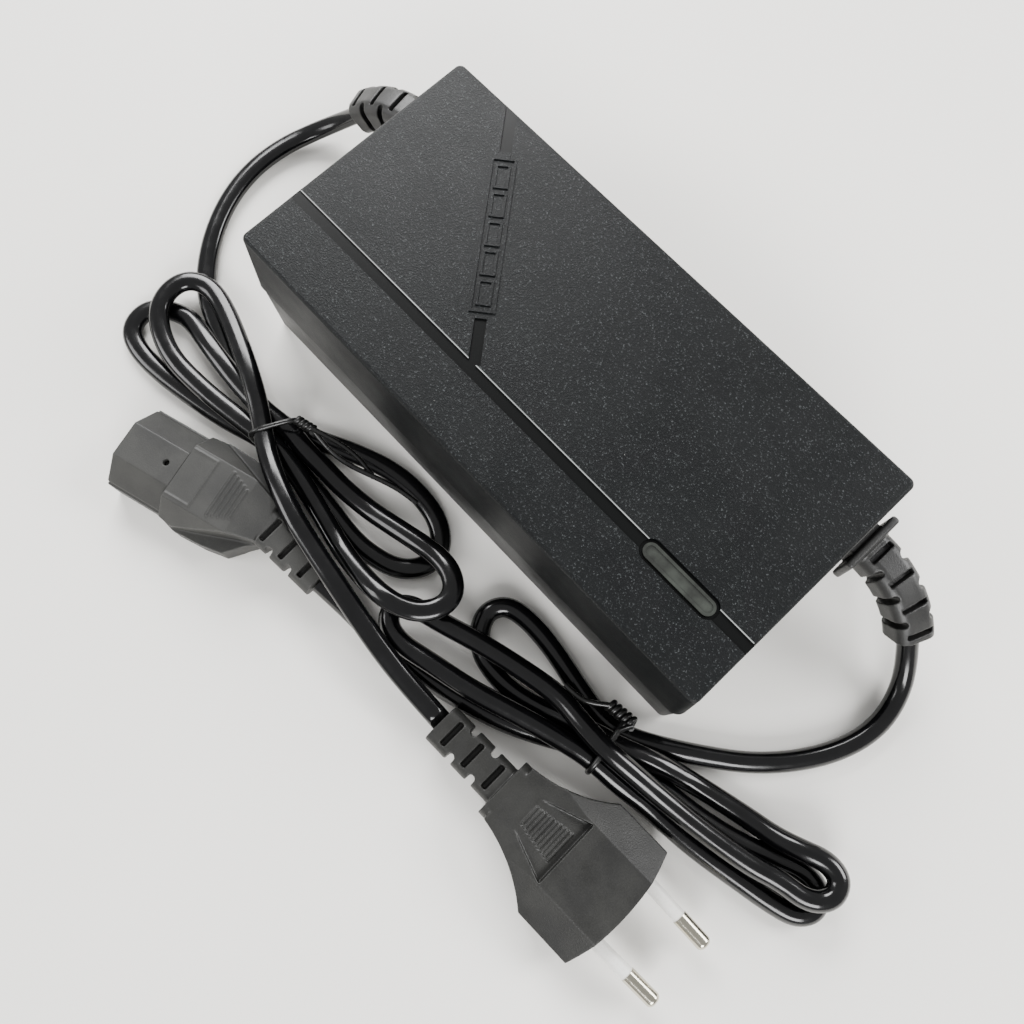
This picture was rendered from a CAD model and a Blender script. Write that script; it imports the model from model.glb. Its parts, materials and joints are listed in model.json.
# %% [markdown]
# # Sealed battery charger with a tied mains cord and a tied output cord
#
# The looks of the charger: a black drafted case with a grooved cover, an indicator window and a raised
# charge gauge, two bent strain reliefs, a glossy flat mains cord and a round output cord, each folded
# into a hank and held by a wire tie, a flat two-pin plug and a line socket. Metres, in the CAD's frame.

# %% [markdown]
# ## Frame and helpers
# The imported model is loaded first. `MM` turns the millimetres that the sizes are known in into metres.

# %%
import bmesh
import bpy
import json
import math
from mathutils import Matrix, Vector


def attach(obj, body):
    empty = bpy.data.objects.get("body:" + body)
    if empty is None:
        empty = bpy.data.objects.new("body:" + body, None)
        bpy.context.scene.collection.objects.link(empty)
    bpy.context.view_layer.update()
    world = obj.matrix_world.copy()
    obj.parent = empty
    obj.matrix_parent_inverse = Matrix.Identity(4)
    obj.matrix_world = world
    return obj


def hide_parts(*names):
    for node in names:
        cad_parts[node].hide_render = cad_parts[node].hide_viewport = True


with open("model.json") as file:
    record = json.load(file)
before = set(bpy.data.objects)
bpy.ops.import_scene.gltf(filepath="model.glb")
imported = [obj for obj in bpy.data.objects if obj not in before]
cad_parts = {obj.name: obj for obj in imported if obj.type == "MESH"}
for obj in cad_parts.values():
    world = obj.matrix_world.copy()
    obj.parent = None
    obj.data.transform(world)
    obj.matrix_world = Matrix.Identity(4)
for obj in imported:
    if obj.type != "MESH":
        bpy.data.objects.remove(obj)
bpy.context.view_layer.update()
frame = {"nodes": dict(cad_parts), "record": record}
MM = 0.001
NODES = frame["nodes"]
print(len(NODES), "CAD nodes")

# %% [markdown]
# ## Camera
# A 35 mm lens looks steeply down on the charger from beyond its near long side. Its place and axes are
# the rounded results of a fit to the case's edges, made outside this script: `LOOK` is the direction
# of view and `RIGHT` points to the right of the view.

# %%
CAMERA_PLACE = Vector((60.48, -74.96, 263.19)) * MM
LOOK = Vector((-0.1856, 0.1760, -0.9667)).normalized()
RIGHT = Vector((0.6845, 0.7290, 0.0013))
RIGHT = (RIGHT - LOOK * RIGHT.dot(LOOK)).normalized()
SENSOR_MM = 36.0
LENS_MM = 35.16


def make_camera():
    """The still camera that looks down on the table."""
    data = bpy.data.cameras.new("camera")
    data.sensor_width = SENSOR_MM
    data.lens = LENS_MM
    data.clip_start = 0.01
    camera = bpy.data.objects.new("camera", data)
    up = RIGHT.cross(LOOK)
    axes = Matrix((RIGHT, up, -LOOK)).transposed().to_4x4()
    camera.matrix_world = Matrix.Translation(CAMERA_PLACE) @ axes
    bpy.context.scene.collection.objects.link(camera)
    bpy.context.scene.camera = camera
    return camera


camera = make_camera()
print("camera at", tuple(round(value, 4) for value in camera.location))

# %% [markdown]
# ## How a material is written
# Every finish is a small node tree around one Principled surface. `add` makes a node and fills its
# settings: a plain value goes on the socket, and another node's output is linked to it. Patterns read
# object coordinates, which are metres here, so `per_mm` turns a grain width into a texture scale.

# %%
def linear(hex_colour):
    """sRGB hex to a linear RGBA tuple."""
    channels = [int(hex_colour[i:i + 2], 16) / 255 for i in (1, 3, 5)]
    return tuple(c / 12.92 if c <= 0.04045 else ((c + 0.055) / 1.055) ** 2.4
                 for c in channels) + (1.0,)


def grey(value):
    """A grey level for a ramp that drives a number, such as roughness."""
    return (value, value, value, 1.0)


def per_mm(width_mm):
    """Texture scale whose features are about this wide."""
    return 1.0 / (width_mm * MM)


def fill(node, **settings):
    """Set a node's properties and sockets; an output given as a value is linked."""
    for name, value in settings.items():
        if hasattr(node, name):
            setattr(node, name, value)
            continue
        socket = node.inputs[int(name[6:]) if name.startswith("input_") else name.replace("_", " ")]
        if isinstance(value, bpy.types.NodeSocket):
            node.id_data.links.new(value, socket)
        else:
            socket.default_value = value


def add(tree, kind, stops=(), **settings):
    """Add a node with its settings and links; stops are a colour ramp's places and colours."""
    node = tree.nodes.new("ShaderNode" + kind)
    fill(node, **settings)
    for index, (place, colour) in enumerate(stops):
        elements = node.color_ramp.elements
        element = elements[index] if index < 2 else elements.new(place)
        element.position = place
        element.color = colour
    return node


def start(name):
    """An empty material: its tree, its surface and the object coordinates."""
    material = bpy.data.materials.new(name)
    material.use_nodes = True
    tree = material.node_tree
    tree.nodes.clear()
    surface = add(tree, "BsdfPrincipled")
    add(tree, "OutputMaterial", Surface=surface.outputs["BSDF"])
    return material, tree, surface, add(tree, "TexCoord")


print("a 0.4 mm grain has a texture scale of", per_mm(0.4))

# %% [markdown]
# ## Moulded and dipped plastics
# Most pieces are injection-moulded: the mould's surface leaves a grain, the colour drifts faintly over
# centimetres, and handling polishes it in patches, so its roughness drifts too. One function makes
# them all from two nearby colours, a grain width and a grain depth.

# %%
def moulded(name, dark, light, roughness, grain_mm, depth_mm, drift=0.05, specular=0.5, coat=0.0):
    """Moulded, dipped or extruded plastic with a grain and patches of handling."""
    material, tree, surface, place = start(name)
    where = place.outputs["Object"]
    cloudy = add(tree, "TexNoise", Vector=where, Scale=per_mm(9.0), Detail=4.0)
    fine = add(tree, "TexNoise", Vector=where, Scale=per_mm(grain_mm), Detail=2.0)
    both = add(tree, "Math", operation="MULTIPLY_ADD", input_0=fine.outputs["Fac"], input_1=0.6,
               input_2=cloudy.outputs["Fac"])
    colour = add(tree, "ValToRGB", stops=((0.62, linear(dark)), (0.98, linear(light))),
                 Fac=both.outputs["Value"])
    handled = add(tree, "TexNoise", Vector=where, Scale=per_mm(5.0), Detail=5.0, Roughness=0.6)
    rough = add(tree, "ValToRGB", Fac=handled.outputs["Fac"],
                stops=((0.35, grey(roughness - drift)), (0.65, grey(roughness + drift))))
    bump = add(tree, "Bump", Height=fine.outputs["Fac"], Distance=depth_mm * MM)
    fill(surface, Base_Color=colour.outputs["Color"], Roughness=rough.outputs["Color"],
         Normal=bump.outputs["Normal"], Specular_IOR_Level=specular, Coat_Weight=coat,
         Coat_Roughness=0.15)
    return material


# PVC cord sheath: extruded, so it is smooth and glossy, with faint lengthwise unevenness
sheath = moulded("extruded pvc sheath", "#040405", "#080809", 0.17, 3.0, 0.02, 0.04, 0.5)
print("made", sheath.name)

# %% [markdown]
# ## The case's spark-eroded ABS
# The mould for the case was eroded by sparks, which leaves a coarse sparkling grain on the top face.
# The sides are finer, because a deep grain would catch as the part leaves its mould. The floor of the
# groove is polished smooth. Height and the surface's own direction tell the three apart.

# %%
TOP_LEVEL_MM = 46.0
GROOVE_BELOW_MM = 45.7
LIP_MM = -17.3
LIP_HALF_WIDTH_MM = 0.16
LIP_DEPTH_MM = 0.08
LEVEL_FACING = 0.95
GRAIN_MM, GRAIN_DEPTH_MM = 0.42, 0.09


def spark_eroded(name):
    """Black ABS: sparkling grain on the top, fine grain on the sides, a polished groove."""
    material, tree, surface, place = start(name)
    where = place.outputs["Object"]
    height = add(tree, "SeparateXYZ", Vector=where).outputs["Z"]
    facing = add(tree, "SeparateXYZ", Vector=place.outputs["Normal"]).outputs["Z"]
    low = add(tree, "Math", operation="LESS_THAN", input_0=height, input_1=GROOVE_BELOW_MM * MM)
    flat = add(tree, "Math", operation="GREATER_THAN", input_0=facing,
               input_1=LEVEL_FACING)
    groove = add(tree, "Math", operation="MULTIPLY", input_0=low.outputs["Value"],
                 input_1=flat.outputs["Value"]).outputs["Value"]
    upward = add(tree, "MapRange", Value=facing, From_Min=0.35, From_Max=LEVEL_FACING,
                 To_Min=0.30, To_Max=1.0).outputs["Result"]
    rough_skin = add(tree, "Math", operation="MULTIPLY_ADD", input_0=groove, input_1=-1.0,
                     input_2=upward, use_clamp=True).outputs["Value"]
    grain = add(tree, "TexNoise", Vector=where, Scale=per_mm(GRAIN_MM), Detail=2.0, Roughness=0.65)
    clouds = add(tree, "TexNoise", Vector=where, Scale=per_mm(22.0), Detail=3.0)
    dark_ground = add(tree, "ValToRGB", Fac=clouds.outputs["Fac"],
                      stops=((0.3, linear("#07090a")), (0.7, linear("#0c0e0f"))))
    specks = add(tree, "ValToRGB", Fac=grain.outputs["Fac"],
                 stops=((0.60, grey(0.0)), (0.74, grey(1.0))))
    speck_share = add(tree, "Math", operation="MULTIPLY", input_0=specks.outputs["Color"],
                      input_1=rough_skin)
    skin = add(tree, "MixRGB", Fac=speck_share.outputs["Value"], Color1=dark_ground.outputs["Color"],
               Color2=linear("#454849"))
    # a few grains of dust sit in the texture, about one in every four millimetres
    dust_cells = add(tree, "TexVoronoi", Vector=where, Scale=per_mm(4.0))
    dust = add(tree, "Math", operation="LESS_THAN", input_0=dust_cells.outputs["Distance"],
               input_1=0.035)
    dust_share = add(tree, "Math", operation="MULTIPLY", input_0=dust.outputs["Value"],
                     input_1=speck_share.outputs["Value"])
    dusted = add(tree, "MixRGB", Fac=dust_share.outputs["Value"], Color1=skin.outputs["Color"],
                 Color2=linear("#a8a69e"))
    colour = add(tree, "MixRGB", Fac=groove, Color1=dusted.outputs["Color"],
                 Color2=linear("#070808"))
    # the groove's far lip is rubbed bright along its edge
    across = add(tree, "SeparateXYZ", Vector=where).outputs["Y"]
    lip = add(tree, "Math", operation="COMPARE", input_0=across, input_1=LIP_MM * MM,
              input_2=LIP_HALF_WIDTH_MM * MM)
    raised = add(tree, "Math", operation="GREATER_THAN", input_0=height,
                 input_1=(TOP_LEVEL_MM - LIP_DEPTH_MM) * MM)
    worn = add(tree, "Math", operation="MULTIPLY", input_0=lip.outputs["Value"],
               input_1=raised.outputs["Value"])
    worn_share = add(tree, "Math", operation="MULTIPLY", input_0=worn.outputs["Value"],
                     input_1=clouds.outputs["Fac"])
    finished = add(tree, "MixRGB", Fac=worn_share.outputs["Value"], Color1=colour.outputs["Color"],
                   Color2=linear("#b4b7b6"))
    handled = add(tree, "TexNoise", Vector=where, Scale=per_mm(14.0), Detail=6.0, Roughness=0.65)
    rough = add(tree, "ValToRGB", Fac=handled.outputs["Fac"],
                stops=((0.3, grey(0.38)), (0.7, grey(0.48))))
    final_rough = add(tree, "MixRGB", Fac=groove, Color1=rough.outputs["Color"], Color2=grey(0.3))
    bump = add(tree, "Bump", Height=grain.outputs["Fac"], Strength=rough_skin,
               Distance=GRAIN_DEPTH_MM * MM)
    fill(surface, Base_Color=finished.outputs["Color"], Roughness=final_rough.outputs["Color"],
         Normal=bump.outputs["Normal"], Specular_IOR_Level=0.2)
    return material


case_skin = spark_eroded("spark-eroded abs")
print("made", case_skin.name)

# %% [markdown]
# ## Metals, ceramics and glass
# Pins and screws are plated: nickel and tin are smooth and warm or cool white, with hairline scratches.
# A heatsink is extruded, so its lines run along it. Ferrite is sintered and slightly pitted. Wound
# copper and tape show their turns. The fuse and the lamps are clear, so their light passes through.

# %%
def plated(name, colour, roughness, scratch_mm=0.3, stretch=(1.0, 1.0, 1.0)):
    """Plated, drawn or extruded metal; stretch draws its scratches out along an axis."""
    material, tree, surface, place = start(name)
    turned = add(tree, "Mapping", Vector=place.outputs["Object"], Scale=stretch)
    scratches = add(tree, "TexNoise", Vector=turned.outputs["Vector"], Scale=per_mm(scratch_mm),
                    Detail=4.0, Roughness=0.7)
    rough = add(tree, "ValToRGB", Fac=scratches.outputs["Fac"],
                stops=((0.35, grey(roughness * 0.7)), (0.7, grey(roughness * 1.4))))
    bump = add(tree, "Bump", Height=scratches.outputs["Fac"], Distance=0.008 * MM)
    fill(surface, Base_Color=linear(colour), Metallic=1.0, Roughness=rough.outputs["Color"],
         Normal=bump.outputs["Normal"])
    return material


def banded(name, dark, light, pitch_mm, axis, roughness, metallic=0.0):
    """Turns of wire or tape, or a glass weave: fine bands across one axis."""
    material, tree, surface, place = start(name)
    bands = add(tree, "TexWave", Vector=place.outputs["Object"], bands_direction=axis,
                Scale=per_mm(pitch_mm) / 20.0, Distortion=0.6, Detail=2.0)
    colour = add(tree, "ValToRGB", Fac=bands.outputs["Fac"],
                 stops=((0.1, linear(dark)), (0.7, linear(light))))
    bump = add(tree, "Bump", Height=bands.outputs["Fac"], Distance=0.05 * MM)
    fill(surface, Base_Color=colour.outputs["Color"], Metallic=metallic, Roughness=roughness,
         Normal=bump.outputs["Normal"])
    return material


def clear(name, colour, roughness, share):
    """Glass or tinted epoxy with faint ripples, part see-through."""
    material, tree, surface, place = start(name)
    ripple = add(tree, "TexNoise", Vector=place.outputs["Object"], Scale=per_mm(2.0), Detail=2.0)
    tint = add(tree, "ValToRGB", Fac=ripple.outputs["Fac"],
               stops=((0.3, linear(colour)), (0.8, grey(0.9))))
    bump = add(tree, "Bump", Height=ripple.outputs["Fac"], Distance=0.02 * MM)
    fill(surface, Base_Color=tint.outputs["Color"], Roughness=roughness, Transmission_Weight=share,
         Normal=bump.outputs["Normal"])
    return material


nickel = plated("nickel plate", "#c9c4b4", 0.16)
print("made", nickel.name)

# %% [markdown]
# ## A finish for every part of the record
# Each material slot gets the finish that its real part has, and every CAD node that stays takes the
# finish of its slot.

# %%
FINISHES = {
    "case_plastic": case_skin,
    "cord_sheath": sheath,
    "relief_plastic": moulded("relief pvc", "#1b1b1b", "#2b2b2a", 0.42, 0.35, 0.05, 0.07, 0.5),
    "plug_plastic": moulded("plug pvc", "#1a1a19", "#252523", 0.44, 0.35, 0.06, 0.05, 0.4),
    "tie_plastic": moulded("tie wire pvc", "#0b0b0b", "#151514", 0.28, 0.6, 0.02, 0.05, 0.5),
    "window_plastic": moulded("smoked window acrylic", "#1d1f1c", "#343833", 0.14, 2.5, 0.02, 0.04,
                              0.6, 0.6),
    "screw_steel": plated("zinc plate", "#a7abb0", 0.3),
    "pin_nickel": nickel,
    "pin_sleeve": moulded("pin sleeve nylon", "#e2e0da", "#f0efea", 0.4, 0.5, 0.015, 0.05, 0.45),
    "contact_brass": plated("tinned brass contact", "#b59a5a", 0.25),
    "board_laminate": banded("glass epoxy laminate", "#12351c", "#1c5a2c", 0.5, "X", 0.35),
    "fuse_glass": clear("fuse glass", "#dfe6e4", 0.05, 0.85),
    "clip_metal": plated("tinned spring clip", "#b9b9b2", 0.22),
    "disc_green": moulded("green epoxy dip", "#1c3529", "#2a4a3a", 0.35, 0.8, 0.06),
    "disc_blue": moulded("blue epoxy dip", "#1c4585", "#2d62ad", 0.3, 0.8, 0.06),
    "ferrite": moulded("sintered ferrite", "#26272a", "#3a3b3d", 0.6, 0.25, 0.05, 0.08, 0.35),
    "enamelled_copper": banded("enamelled copper turns", "#5a2410", "#c06a34", 0.7, "Z", 0.25, 0.8),
    "box_yellow": moulded("yellow potted box", "#b5922c", "#caa63a", 0.4, 0.5, 0.03),
    "package_black": moulded("black epoxy package", "#141415", "#1f1f20", 0.55, 0.2, 0.03, 0.06, 0.4),
    "can_sleeve": moulded("capacitor shrink sleeve", "#141c26", "#1f2a38", 0.3, 1.2, 0.03),
    "heatsink_metal": plated("extruded aluminium", "#b4b6b9", 0.35, 0.4, (0.05, 1.0, 1.0)),
    "bobbin_plastic": moulded("glass-filled nylon", "#131313", "#1d1d1c", 0.5, 0.3, 0.04),
    "coil_tape": banded("polyester coil tape", "#a8842a", "#d9b848", 3.0, "Z", 0.28),
    "pin_tinned": plated("tinned wire", "#b5b6b4", 0.3),
    "trimmer_blue": moulded("trimmer blue nylon", "#1d4a96", "#2a5fb5", 0.38, 0.4, 0.02),
    "rotor_white": moulded("rotor white nylon", "#d8d6cc", "#ebe9df", 0.42, 0.4, 0.02),
    "lamp_green": clear("green lamp epoxy", "#4dbf66", 0.12, 0.5),
    "lamp_red": clear("red lamp epoxy", "#d4483a", 0.12, 0.5),
    "resistor_coat": banded("resistor lacquer", "#a88a5e", "#cdb184", 1.4, "X", 0.4),
    "wire_brown": moulded("brown wire pvc", "#4a2a16", "#5f381f", 0.3, 1.0, 0.02),
    "wire_blue": moulded("blue wire pvc", "#1c3f8f", "#2850ad", 0.3, 1.0, 0.02),
    "wire_red": moulded("red wire pvc", "#8e1812", "#ab231b", 0.3, 1.0, 0.02),
    "wire_black": moulded("black wire pvc", "#101011", "#1a1a1b", 0.3, 1.0, 0.02),
}
SLOT_OF = {part["node"]: part["material_slot"] for part in frame["record"]["subparts"]}
for name, node in NODES.items():
    node.data.materials.clear()
    node.data.materials.append(FINISHES[SLOT_OF[name]])
print(len(FINISHES), "finishes on", len(SLOT_OF), "nodes")

# %% [markdown]
# ## Cords
# Each route runs in millimetres from a strain relief, through the folded and tied hank, to the boot of
# the plug or the socket. Outside the hanks the points are those of the CAD cords, but the mains lead
# lies up to 0.75 mm lower, because a flat cord is thinner than the CAD's tube. Inside the hanks the
# points were traced strand over strand and shifted for their height outside this script, so they are
# a list and not turns worked out by a loop. A NURBS spline makes each route a smooth line. The flat
# two-core mains cord is a mesh drawn along it, and the round output cord is a curve with a bevel.

# %%
MAINS_ROUTE = [
    (-102.95, 21.0, 14.64), (-109.4, 17.2, 8.0), (-115.0, 9.8, 3.9), (-118.4, 0.0, 2.7),
    (-119.0, -11.0, 2.3), (-116.6, -22.0, 1.95), (-111.2, -32.4, 1.9), (-103.8, -41.4, 1.9),
    (-96.2, -47.4, 1.9), (-87.6, -50.7, 1.9), (-78.6, -54.5, 1.9), (-68.5, -57.5, 1.9),
    (-57.5, -57.9, 1.9), (-48.5, -55.9, 1.9), (-40.4, -51.9, 1.9), (-30.0, -46.7, 1.9),
    (-19.2, -42.9, 1.9), (-8.6, -42.3, 1.9), (-0.4, -43.9, 1.9), (5.3, -48.6, 1.9),
    (5.6, -55.0, 1.9), (0.9, -60.6, 1.9), (-7.6, -63.2, 1.9), (-14.8, -63.7, 1.9),
    (-24.9, -62.7, 1.9), (-35.0, -62.1, 1.9), (-46.5, -62.1, 1.9), (-54.5, -64.0, 1.9),
    (-62.5, -66.8, 1.9), (-72.7, -69.2, 1.9), (-86.3, -71.6, 1.9), (-96.4, -72.0, 1.9),
    (-102.9, -69.6, 1.9), (-104.7, -63.6, 1.9), (-101.9, -58.9, 1.9), (-96.3, -55.9, 1.9),
    (-91.5, -55.4, 3.0), (-84.4, -56.3, 4.9), (-75.1, -57.4, 5.75), (-64.7, -58.0, 5.75),
    (-55.8, -57.8, 5.75), (-47.3, -56.4, 5.75), (-39.9, -56.9, 5.2), (-32.1, -56.5, 4.2),
    (-25.7, -56.4, 3.2), (-15.9, -55.3, 3.4), (-5.6, -53.2, 6.3), (2.4, -51.7, 9.0),
    (8.2, -51.0, 11.6), (13.6, -51.6, 13.1), (17.8, -54.4, 13.6), (18.8, -58.9, 13.8),
    (16.2, -63.8, 13.8), (11.4, -67.0, 13.9), (5.0, -68.6, 13.8), (-3.9, -68.6, 9.8),
    (-13.4, -67.6, 6.2), (-24.3, -65.2, 5.7), (-35.5, -63.1, 5.7), (-45.9, -62.1, 5.7),
    (-56.7, -63.9, 5.7), (-65.2, -65.3, 5.7), (-74.2, -66.3, 5.7), (-84.7, -66.7, 5.7),
    (-92.9, -64.7, 5.7), (-99.5, -60.9, 5.75), (-102.5, -55.5, 5.75), (-102.3, -50.1, 5.75),
    (-99.1, -46.5, 5.75), (-93.6, -45.3, 5.8), (-85.0, -47.0, 6.6), (-72.8, -51.2, 8.6),
    (-62.3, -55.5, 9.6), (-53.5, -60.0, 9.6), (-45.5, -64.6, 10.6), (-36.0, -68.4, 12.7),
    (-25.5, -71.5, 13.9), (-15.0, -73.3, 13.6), (-4.5, -74.8, 13.6), (6.5, -76.4, 12.6),
    (17.5, -77.8, 10.8), (28.5, -78.4, 8.2), (39.0, -78.4, 6.9),
]
OUTPUT_ROUTE = [
    (102.95, 21.0, 14.64), (109.2, 17.3, 8.2), (114.0, 10.2, 4.2), (115.6, 1.0, 2.9),
    (113.2, -9.0, 2.8), (107.6, -19.2, 2.8), (99.6, -28.6, 2.8), (90.0, -36.2, 3.2),
    (81.0, -42.4, 2.8), (73.5, -46.8, 2.75), (65.9, -48.6, 2.75), (55.2, -46.9, 2.75),
    (43.4, -44.7, 2.75), (34.4, -44.4, 2.75), (28.2, -45.8, 2.75), (25.6, -50.4, 2.75),
    (27.6, -55.4, 2.75), (31.6, -58.6, 2.75), (36.5, -60.2, 2.75), (44.7, -60.4, 2.75),
    (53.5, -57.8, 3.0), (60.5, -54.8, 5.4), (66.9, -52.4, 7.4), (72.8, -50.7, 7.8),
    (78.7, -48.1, 7.3), (84.8, -45.3, 6.0), (92.0, -42.9, 3.2), (101.3, -40.4, 2.75),
    (108.9, -38.6, 3.3), (115.5, -37.4, 5.4), (121.6, -35.2, 8.0), (127.2, -32.8, 8.6),
    (132.4, -33.6, 8.6), (134.0, -38.4, 8.6), (130.2, -43.0, 8.6), (122.0, -44.4, 8.4),
    (115.1, -47.0, 8.2), (101.2, -49.8, 8.2), (89.3, -51.5, 9.2), (79.9, -52.7, 11.4),
    (72.5, -53.7, 12.7), (64.4, -53.6, 12.4), (54.6, -52.6, 9.6), (42.7, -55.0, 8.4),
    (30.9, -58.2, 8.5), (22.3, -61.2, 8.5), (15.6, -63.2, 8.5), (11.2, -64.8, 8.4),
    (8.6, -68.4, 8.2), (11.6, -72.3, 8.2), (17.6, -73.0, 8.2), (26.0, -70.7, 8.4),
    (38.1, -67.9, 8.4), (51.4, -63.2, 8.4), (61.0, -60.1, 8.3), (70.8, -57.4, 8.1),
    (80.3, -56.6, 6.0), (88.5, -54.9, 3.2), (97.0, -54.2, 2.75), (105.3, -53.2, 2.75),
    (117.6, -50.7, 2.75), (126.4, -48.8, 2.75), (132.2, -46.8, 2.75), (134.6, -42.4, 2.75),
    (131.8, -38.0, 2.75), (125.6, -37.6, 2.75), (117.8, -41.4, 2.75), (109.0, -45.4, 2.75),
    (97.0, -48.3, 2.75), (86.5, -49.6, 2.75), (77.0, -51.8, 2.75), (69.5, -54.8, 2.75),
    (61.5, -60.4, 2.75), (50.5, -66.6, 2.8), (40.0, -70.4, 2.8), (28.5, -73.8, 2.8),
    (17.0, -75.7, 2.8), (6.5, -76.7, 2.85), (-1.8, -77.0, 3.7), (-9.5, -77.8, 5.2),
]
MAINS_WIDTH, MAINS_THICK = 5.6 * MM, 3.8 * MM
OUTPUT_DIAMETER = 5.5 * MM
OVAL = 0.9
CORD_STEPS = 6


def curve_piece(name, lines, steps, bevel=0.0):
    """Quadratic NURBS lines, each a pair (points, closed); a bevel makes them a cord or a wire."""
    data = bpy.data.curves.new(name, "CURVE")
    data.dimensions = "3D"
    data.resolution_u = steps
    for points, closed in lines:
        spline = data.splines.new("NURBS")
        spline.points.add(len(points) - 1)
        for control, point in zip(spline.points, points):
            control.co = (*(Vector(point) * MM), 1.0)
        spline.order_u = 3
        spline.use_cyclic_u = closed
        spline.use_endpoint_u = not closed
    if bevel:
        data.bevel_depth = bevel
        data.bevel_resolution = steps
        data.use_fill_caps = True
    piece = bpy.data.objects.new(name, data)
    bpy.context.scene.collection.objects.link(piece)
    return piece


def spline_points(points):
    """Points read from the route's own spline."""
    probe = curve_piece("probe", [(points, False)], CORD_STEPS)
    mesh = bpy.data.meshes.new_from_object(probe)
    found = [vertex.co.copy() for vertex in mesh.vertices]
    bpy.data.objects.remove(probe)
    bpy.data.meshes.remove(mesh)
    return found


def new_piece(name, bm, materials):
    """Turn a bmesh into a finished object at the origin."""
    bmesh.ops.recalc_face_normals(bm, faces=bm.faces)
    mesh = bpy.data.meshes.new(name)
    bm.to_mesh(mesh)
    bm.free()
    for polygon in mesh.polygons:
        polygon.use_smooth = True
    for material in materials:
        mesh.materials.append(material)
    piece = bpy.data.objects.new(name, mesh)
    bpy.context.scene.collection.objects.link(piece)
    return piece


def squarer(value, power):
    """A sine or cosine drawn out towards its ends, which makes an oval squarer."""
    return math.copysign(abs(value) ** power, value)


def flat_section(width, thick, steps=28):
    """Cross-section of the flat two-core cord: a full oval, a little squarer than an ellipse."""
    section = []
    for step in range(steps):
        angle = math.tau * step / steps
        section.append((width / 2 * squarer(math.cos(angle), OVAL),
                        thick / 2 * squarer(math.sin(angle), OVAL)))
    return section


def flat_cord(points, section):
    """A mesh tube of the given section that lies flat along a line."""
    bm = bmesh.new()
    rings = []
    for index, point in enumerate(points):
        ahead = points[min(index + 1, len(points) - 1)] - points[max(index - 1, 0)]
        ahead.normalize()
        across = ahead.cross(Vector((0, 0, 1))).normalized()
        upward = across.cross(ahead)
        rings.append([bm.verts.new(point + across * a + upward * b) for a, b in section])
    count = len(section)
    for near, far in zip(rings, rings[1:]):
        for k in range(count):
            bm.faces.new((near[k], near[(k + 1) % count], far[(k + 1) % count], far[k]))
    bm.faces.new(rings[0])
    bm.faces.new(reversed(rings[-1]))
    return bm


mains_points = spline_points(MAINS_ROUTE)
mains_cord = new_piece("mains_cord", flat_cord(
    mains_points, flat_section(MAINS_WIDTH, MAINS_THICK)), [sheath])
output_cord = curve_piece("output_cord", [(OUTPUT_ROUTE, False)], CORD_STEPS, OUTPUT_DIAMETER / 2)
output_cord.data.materials.append(sheath)


def line_length(points):
    """Length along a list of points, in metres."""
    return sum((b - a).length for a, b in zip(points, points[1:]))


print("cord lengths", round(line_length(mains_points), 3),
      round(line_length(spline_points(OUTPUT_ROUTE)), 3))

# %% [markdown]
# ## Softened mouldings
# A flexible moulding never has a knife edge: every corner has a small radius that catches the light.
# The reliefs, the plug and the socket keep the shape of their CAD nodes, so each is a copy with its
# doubled points merged, remeshed in even voxels and smoothed, which rounds every edge by about one
# voxel. The plug's and the socket's copies are first turned square to the voxels, and a voxel is a
# whole part of the pitch of their grip ribs, so that every rib comes out alike. The case has its radii
# in the CAD and stays as it is.

# %%
SAME_POINT = 0.002 * MM
PLUG_TURN, SOCKET_TURN = 1.5, 16.5
PLUG_RIB_PITCH_MM, SOCKET_RIB_PITCH_MM = 1.13, 1.38
RELIEF_VOXEL_MM = 0.22
PLUG_VOXEL_MM = PLUG_RIB_PITCH_MM / 5
SOCKET_VOXEL_MM = SOCKET_RIB_PITCH_MM / 6


def softened(node_name, piece_name, voxel_mm, rounds, turn, finish):
    """A copy of a CAD node with its edges softened, in place of the node."""
    square = Matrix.Rotation(math.radians(-turn), 4, "Z")
    bm = bmesh.new()
    bm.from_mesh(NODES[node_name].data)
    bmesh.ops.remove_doubles(bm, verts=bm.verts, dist=SAME_POINT)
    bmesh.ops.transform(bm, matrix=square, verts=bm.verts)
    rough = new_piece("rough_" + piece_name, bm, [])
    remesh = rough.modifiers.new("even voxels", "REMESH")
    remesh.mode = "VOXEL"
    remesh.voxel_size = voxel_mm * MM
    smooth = rough.modifiers.new("round edges", "SMOOTH")
    smooth.factor = 0.5
    smooth.iterations = rounds
    graph = bpy.context.evaluated_depsgraph_get()
    bm = bmesh.new()
    bm.from_object(rough, graph)
    bmesh.ops.transform(bm, matrix=square.inverted(), verts=bm.verts)
    old_mesh = rough.data
    bpy.data.objects.remove(rough)
    bpy.data.meshes.remove(old_mesh)
    piece = new_piece(piece_name, bm, [finish])
    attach(piece, "charger")
    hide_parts(node_name)
    return piece


relief_pvc, plug_pvc = FINISHES["relief_plastic"], FINISHES["plug_plastic"]
# the socket is a softer, duller grade than the plug and reads a little lighter
socket_pvc = moulded("socket pvc", "#2a2a29", "#363634", 0.52, 0.3, 0.04, 0.05, 0.4)
for node_name, piece_name, voxel_mm, rounds, turn, finish in (
    ("mains_strain_relief", "mains_relief", RELIEF_VOXEL_MM, 3, 0.0, relief_pvc),
    ("output_strain_relief", "output_relief", RELIEF_VOXEL_MM, 3, 0.0, relief_pvc),
    ("mains_plug_body", "plug_moulding", PLUG_VOXEL_MM, 3, PLUG_TURN, plug_pvc),
    ("connector_overmould", "socket_moulding", SOCKET_VOXEL_MM, 3, SOCKET_TURN, socket_pvc),
    ("connector_insert", "socket_face", SOCKET_VOXEL_MM, 2, SOCKET_TURN, socket_pvc),
):
    softened(node_name, piece_name, voxel_mm, rounds, turn, finish)

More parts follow.
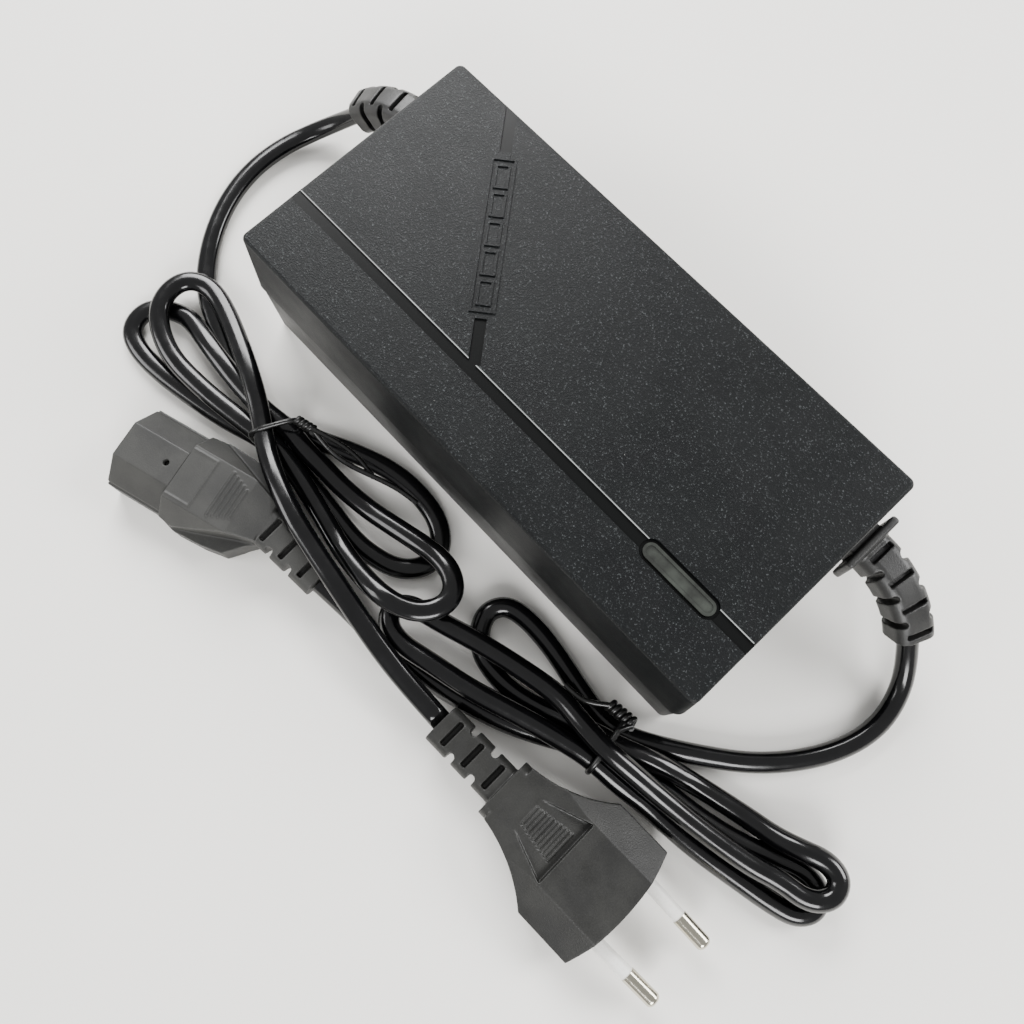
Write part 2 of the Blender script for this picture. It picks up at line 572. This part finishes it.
# %% [markdown]
# ## Wire ties
# Each hank is held by a plastic-coated wire. It goes once round the strands and its ends are twisted:
# long loose tails on the mains side, and a tight screw-like knot with one tail on the output side.
# A curve with several splines and a round bevel is a wire: one closed spline for the loop, and open
# ones for the twist and the tails. Places are in millimetres, as in the routes.

# %%
TIE_RADIUS = 0.72 * MM
TIE_CORNER = 0.55
TIE_STEPS = 4


def tie_loop(centre, turn, half_width, low, high, count=18):
    """A closed loop round a hank, square-shouldered like a pulled wire."""
    along = Vector((-math.sin(turn), math.cos(turn), 0))
    middle, rise = (low + high) / 2, (high - low) / 2
    points = []
    for step in range(count):
        angle = math.tau * step / count
        spot = Vector((*centre, middle)) + along * (half_width * squarer(math.cos(angle), TIE_CORNER))
        points.append(spot + Vector((0, 0, rise * squarer(math.sin(angle), TIE_CORNER))))
    return points


def twist(begin, end, radius, turns, phase=0.0, steps=12):
    """A helix from one point to another."""
    begin, end = Vector(begin), Vector(end)
    axis = (end - begin).normalized()
    side = axis.cross(Vector((0, 0, 1))).normalized()
    up = side.cross(axis)
    count = int(turns * steps)
    return [begin.lerp(end, step / count)
            + side * (radius * math.cos(math.tau * turns * step / count + phase))
            + up * (radius * math.sin(math.tau * turns * step / count + phase))
            for step in range(count + 1)]


MAINS_TWIST = ((-45.6, -53.6, 11.6), (-40.5, -52.2, 11.4))
OUTPUT_TWIST = ((64.6, -45.2, 10.8), (72.4, -44.2, 10.6))
mains_tie = curve_piece("mains_wire_tie", [
    (tie_loop((-48.5, -59.0), math.radians(-27), 7.2, 1.0, 12.2), True),
    (twist(*MAINS_TWIST, 0.8, 2), False),
    (twist(*MAINS_TWIST, 0.8, 2, math.pi), False),
    ([(-40.5, -52.2, 12.0), (-36.0, -50.5, 11.8), (-30.5, -49.0, 11.2), (-25.0, -48.4, 10.6),
      (-19.9, -49.1, 10.2)], False),
    ([(-40.5, -52.2, 11.0), (-34.5, -53.0, 11.6), (-27.0, -52.0, 11.8), (-18.5, -48.6, 11.6),
      (-12.0, -46.2, 11.2), (-6.7, -45.5, 10.9)], False),
], TIE_STEPS, TIE_RADIUS)
output_tie = curve_piece("output_wire_tie", [
    (tie_loop((71.4, -52.4), math.radians(10), 8.0, 1.0, 12.9), True),
    (twist(*OUTPUT_TWIST, 1.25, 5), False),
    ([(72.2, -45.0, 11.6), (71.2, -46.6, 12.6), (70.6, -48.4, 13.0)], False),
    ([(64.8, -45.4, 12.0), (61.6, -48.2, 12.2), (58.4, -49.8, 11.8), (53.6, -49.9, 11.4)], False),
], TIE_STEPS, TIE_RADIUS)
for piece, node_name in ((mains_tie, "mains_twist_tie"), (output_tie, "output_twist_tie")):
    piece.data.materials.append(FINISHES["tie_plastic"])
    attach(piece, "charger")
    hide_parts(node_name)
print("ties", mains_tie.name, output_tie.name)

# %% [markdown]
# ## The cords' facts
# Both cords lie in view from end to end, apart from the strands that others cover, so their lengths
# are those of their routes. Each leaves its strain relief, and what is moulded on it or tied round it
# goes with it.

# %%
for piece, nodes in (
    (mains_cord, ("mains_cord_lead", "mains_cord_hank", "mains_cord_tail")),
    (output_cord, ("output_cord_lead", "output_cord_hank", "output_cord_tail")),
):
    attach(piece, "charger")
    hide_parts(*nodes)

print("cords declared")

# %% [markdown]
# ## Table and light
# A pale matt table and soft light from all round, with one larger window-like light from the far left
# that greys the far corner of the case and draws the bright lines along the glossy cords.

# %%
TABLE_HALF_SIZE = 1.5
WORLD_LIGHT = 0.52
LAMPS = (
    ("window", (-0.85, 0.55, 0.75), (0.8, 0.6), 28),
    ("far_lamp", (0.55, 0.85, 0.7), (0.6, 0.5), 15),
    ("near_lamp", (0.75, -0.7, 0.7), (0.6, 0.5), 16),
    ("side_lamp", (-0.7, -0.75, 0.7), (0.5, 0.5), 6),
)


def make_floor():
    """A pale seamless table top."""
    material, tree, surface, place = start("white laminate table")
    clouds = add(tree, "TexNoise", Vector=place.outputs["Object"], Scale=per_mm(160.0), Detail=2.0)
    colour = add(tree, "ValToRGB", Fac=clouds.outputs["Fac"],
                 stops=((0.3, linear("#f6f4ee")), (0.7, linear("#faf8f3"))))
    fill(surface, Base_Color=colour.outputs["Color"], Roughness=0.55)
    bm = bmesh.new()
    bmesh.ops.create_grid(bm, x_segments=2, y_segments=2, size=TABLE_HALF_SIZE)
    new_piece("floor", bm, [material])


def area_light(name, place, size, watts):
    """A soft rectangular light aimed at the charger."""
    data = bpy.data.lights.new(name, "AREA")
    data.shape = "RECTANGLE"
    data.size, data.size_y = size
    data.energy = watts
    light = bpy.data.objects.new(name, data)
    light.location = place
    light.rotation_euler = (-Vector(place)).to_track_quat("-Z", "Y").to_euler()
    bpy.context.scene.collection.objects.link(light)


make_floor()
for lamp in LAMPS:
    area_light(*lamp)
world = bpy.data.worlds.new("studio")
world.use_nodes = True
world.node_tree.nodes["Background"].inputs["Color"].default_value = (1, 1, 1, 1)
world.node_tree.nodes["Background"].inputs["Strength"].default_value = WORLD_LIGHT
bpy.context.scene.world = world
